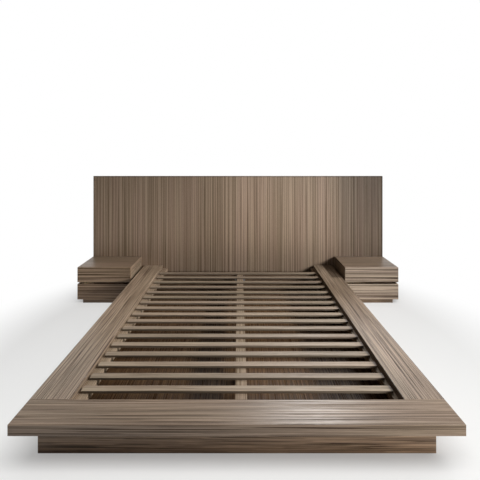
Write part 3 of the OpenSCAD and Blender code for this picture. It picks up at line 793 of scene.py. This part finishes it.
points = bpy.data.meshes.new("screw_points")
points.from_pydata([place for place, facing in screw_places], [], [])
facings = points.attributes.new("facing", "FLOAT_VECTOR", "POINT")
for k, (place, facing) in enumerate(screw_places):
    facings.data[k].vector = facing
screws = grow("screws", screw_tree(), {**SCREW_SIZE, "Seed": SCREW_SEED, "Finish": zinc_finish}, start=points)
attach(screws, "bed")
print("screws:", len(screw_places), "faces:", len(screws.data.polygons))

# %% [markdown]
# ## The floor
# The bed stands in a white studio. The floor is a pale sheet near the bed, so it can show the shade
# under the frame, and it turns to plain white farther away, where it meets the white background.
# A bright lamp on a grey floor would be one way to make it white, but it would also light the bed from
# below. So the white is only there for the eye, for reflections and through glass.

# %% Lay the floor
FLOOR_HALF = 30.0
FLOOR_PALE_WITHIN = 1.2
FLOOR_WHITE_FROM = 2.3
FLOOR_LIFT = 0.3  # the share of plain white that the eye sees even in the shade
FLOOR_COLOUR = (0.82, 0.82, 0.81, 1.0)
WHITE = (1.0, 1.0, 1.0, 1.0)


def white_for_eye_and_gloss(t):
    """1.0 for rays that see the background: straight from the eye, in a reflection, or through glass."""
    path = t.add("ShaderNodeLightPath").outputs
    seen = t.math("MAXIMUM", path["Is Camera Ray"], path["Is Glossy Ray"])
    return t.math("MAXIMUM", seen, path["Is Transmission Ray"])


def studio_floor():
    material, t = new_material("studio_floor")
    place = t.add("ShaderNodeTexCoord").outputs["Object"]
    pale = t.add("ShaderNodeBsdfDiffuse", {"Color": FLOOR_COLOUR})
    white = t.add("ShaderNodeEmission", {"Color": WHITE, "Strength": 1.0})
    distance = t.add("ShaderNodeVectorMath", {0: place}, operation="LENGTH").outputs["Value"]
    away = t.product(t.ramp(distance, FLOOR_PALE_WITHIN, FLOOR_WHITE_FROM), white_for_eye_and_gloss(t))
    eye = t.add("ShaderNodeLightPath").outputs["Is Camera Ray"]
    whiteness = t.math("MAXIMUM", away, t.product(eye, FLOOR_LIFT))
    shader = t.add("ShaderNodeMixShader", {0: whiteness, 1: pale.outputs[0], 2: white.outputs[0]})
    t.add("ShaderNodeOutputMaterial", {"Surface": shader.outputs[0]})
    return material


def flat_sheet(name, half, height):
    mesh = bpy.data.meshes.new(name)
    corners = [(-half, -half, height), (half, -half, height), (half, half, height), (-half, half, height)]
    mesh.from_pydata(corners, [], [(0, 1, 2, 3)])
    sheet = bpy.data.objects.new(name, mesh)
    bpy.context.scene.collection.objects.link(sheet)
    return sheet


floor = flat_sheet("floor", FLOOR_HALF, 0.0)
floor.data.materials.append(studio_floor())
print("floor laid")

# %% [markdown]
# ## The background and three kinds of lamp
# The background is white for the eye in the same way, and it gives no light: the lamps do that.
# A far lamp has rays that run nearly side by side, a soft lamp is a glowing rectangle, and a spot
# shines in a cone with a soft rim. A real studio floor gets light from all round and shows only soft
# shade. So the floor here has lamps of its own. Light linking gives each lamp a list of what it
# lights: the bed's lamps leave the floor out, and the floor's lamps light nothing else.

# %% Helpers for the light
FAR_AWAY = 8.0


def studio_world():
    world = bpy.data.worlds.new("studio")
    world.use_nodes = True
    world.node_tree.nodes.clear()
    t = Tree(world.node_tree)
    dark = t.add("ShaderNodeBackground", {"Strength": 0.0})
    white = t.add("ShaderNodeBackground", {"Color": WHITE, "Strength": 1.0})
    shader = t.add("ShaderNodeMixShader", {
        0: white_for_eye_and_gloss(t), 1: dark.outputs[0], 2: white.outputs[0]})
    t.add("ShaderNodeOutputWorld", {"Surface": shader.outputs[0]})
    return world


def hang_lamp(data, place, aim, power):
    """The power is in watts, and for a far lamp in watts per square metre."""
    data.energy = power
    lamp = bpy.data.objects.new(data.name, data)
    lamp.location = place
    lamp.rotation_euler = (Vector(aim) - Vector(place)).to_track_quat("-Z", "Y").to_euler()
    lamp.visible_camera = False
    bpy.context.scene.collection.objects.link(lamp)
    return lamp


def far_lamp(name, azimuth, elevation, spread, power):
    """Light from so far away that its rays run side by side. Azimuth 0 is the right, 90 the headboard."""
    data = bpy.data.lights.new(name, "SUN")
    data.angle = math.radians(spread)
    a, e = math.radians(azimuth), math.radians(elevation)
    way = Vector((math.cos(a) * math.cos(e), math.sin(a) * math.cos(e), math.sin(e)))
    return hang_lamp(data, FAR_AWAY * way, (0, 0, 0), power)


def soft_lamp(name, place, aim, width, height, power):
    data = bpy.data.lights.new(name, "AREA")
    data.shape = "RECTANGLE"
    data.size = width
    data.size_y = height
    return hang_lamp(data, place, aim, power)


def soft_spot(name, place, aim, degrees, radius, power):
    data = bpy.data.lights.new(name, "SPOT")
    data.spot_size = math.radians(degrees)
    data.spot_blend = 1.0
    data.shadow_soft_size = radius
    return hang_lamp(data, place, aim, power)


def light_only(lamp, state):
    """INCLUDE: the lamp lights the floor alone. EXCLUDE: it lights all but the floor."""
    receivers = bpy.data.collections.new(lamp.name + "_lights")
    receivers.objects.link(floor)
    receivers.collection_objects[0].light_linking.link_state = state
    lamp.light_linking.receiver_collection = receivers


bpy.context.scene.world = studio_world()
print("world:", bpy.context.scene.world.name)

# %% [markdown]
# ## Light the bed and the floor
# The main light comes from the right, about 35 degrees up, so the right nightstand throws its shadow
# on the side rail and on the headboard. Three far lamps in slightly different directions share it,
# which keeps the edges of the shadows soft. A lamp behind the bed makes the tops of the rails shine,
# and two spots in front light the fronts and the headboard. The floor's lamps hang high over it and
# make the shade under the bed.
# The powers were first worked out by a separate program. It fitted the mean tones of 59 patches of
# the render to those of the photograph, by least squares. Then they were changed.

# %% Hang the lamps
# A far lamp: azimuth, elevation and spread in degrees, power. A soft lamp: place, aim, width and
# height in metres, power. A spot: place, aim, cone in degrees, radius in metres, power.
bed_lamps = [
    far_lamp("key_front", -6, 33, 7, 0.91),
    far_lamp("key_middle", 0, 36, 7, 1.92),
    far_lamp("key_back", 12, 34, 7, 1.32),
    soft_lamp("back_lamp", (1.37, 3.8, 3.6), (0.2, 0.0, 0.3), 1.0, 1.2, 108),
    soft_spot("low_spot", (3.2, -3.2, 1.4), (0.0, 0.9, 0.0), 44, 0.4, 805),
    soft_spot("headboard_spot", (0.7, -3.0, 2.2), (0.5, 1.08, 1.2), 24, 0.3, 215)]
floor_lamps = [
    soft_lamp("floor_sky", (0.0, 0.0, 9.0), (0.0, 0.0, 0.0), 14.0, 14.0, 172),
    soft_lamp("floor_over", (0.0, 0.0, 5.0), (0.0, 0.0, 0.0), 6.0, 6.0, 37),
    soft_lamp("floor_front", (0.5, -2.8, 4.0), (0.2, -1.1, 0.0), 4.0, 1.6, 178),
    soft_lamp("floor_left", (-3.0, -4.0, 4.0), (-1.0, -1.0, 0.0), 2.0, 2.0, 24),
    soft_lamp("floor_right", (2.9, -0.3, 4.0), (1.1, -0.3, 0.0), 0.8, 4.0, 38)]
for lamp in bed_lamps:
    light_only(lamp, "EXCLUDE")
for lamp in floor_lamps:
    light_only(lamp, "INCLUDE")
bpy.context.scene.view_settings.view_transform = "Standard"
print("lamps:", len(bpy.data.lights))
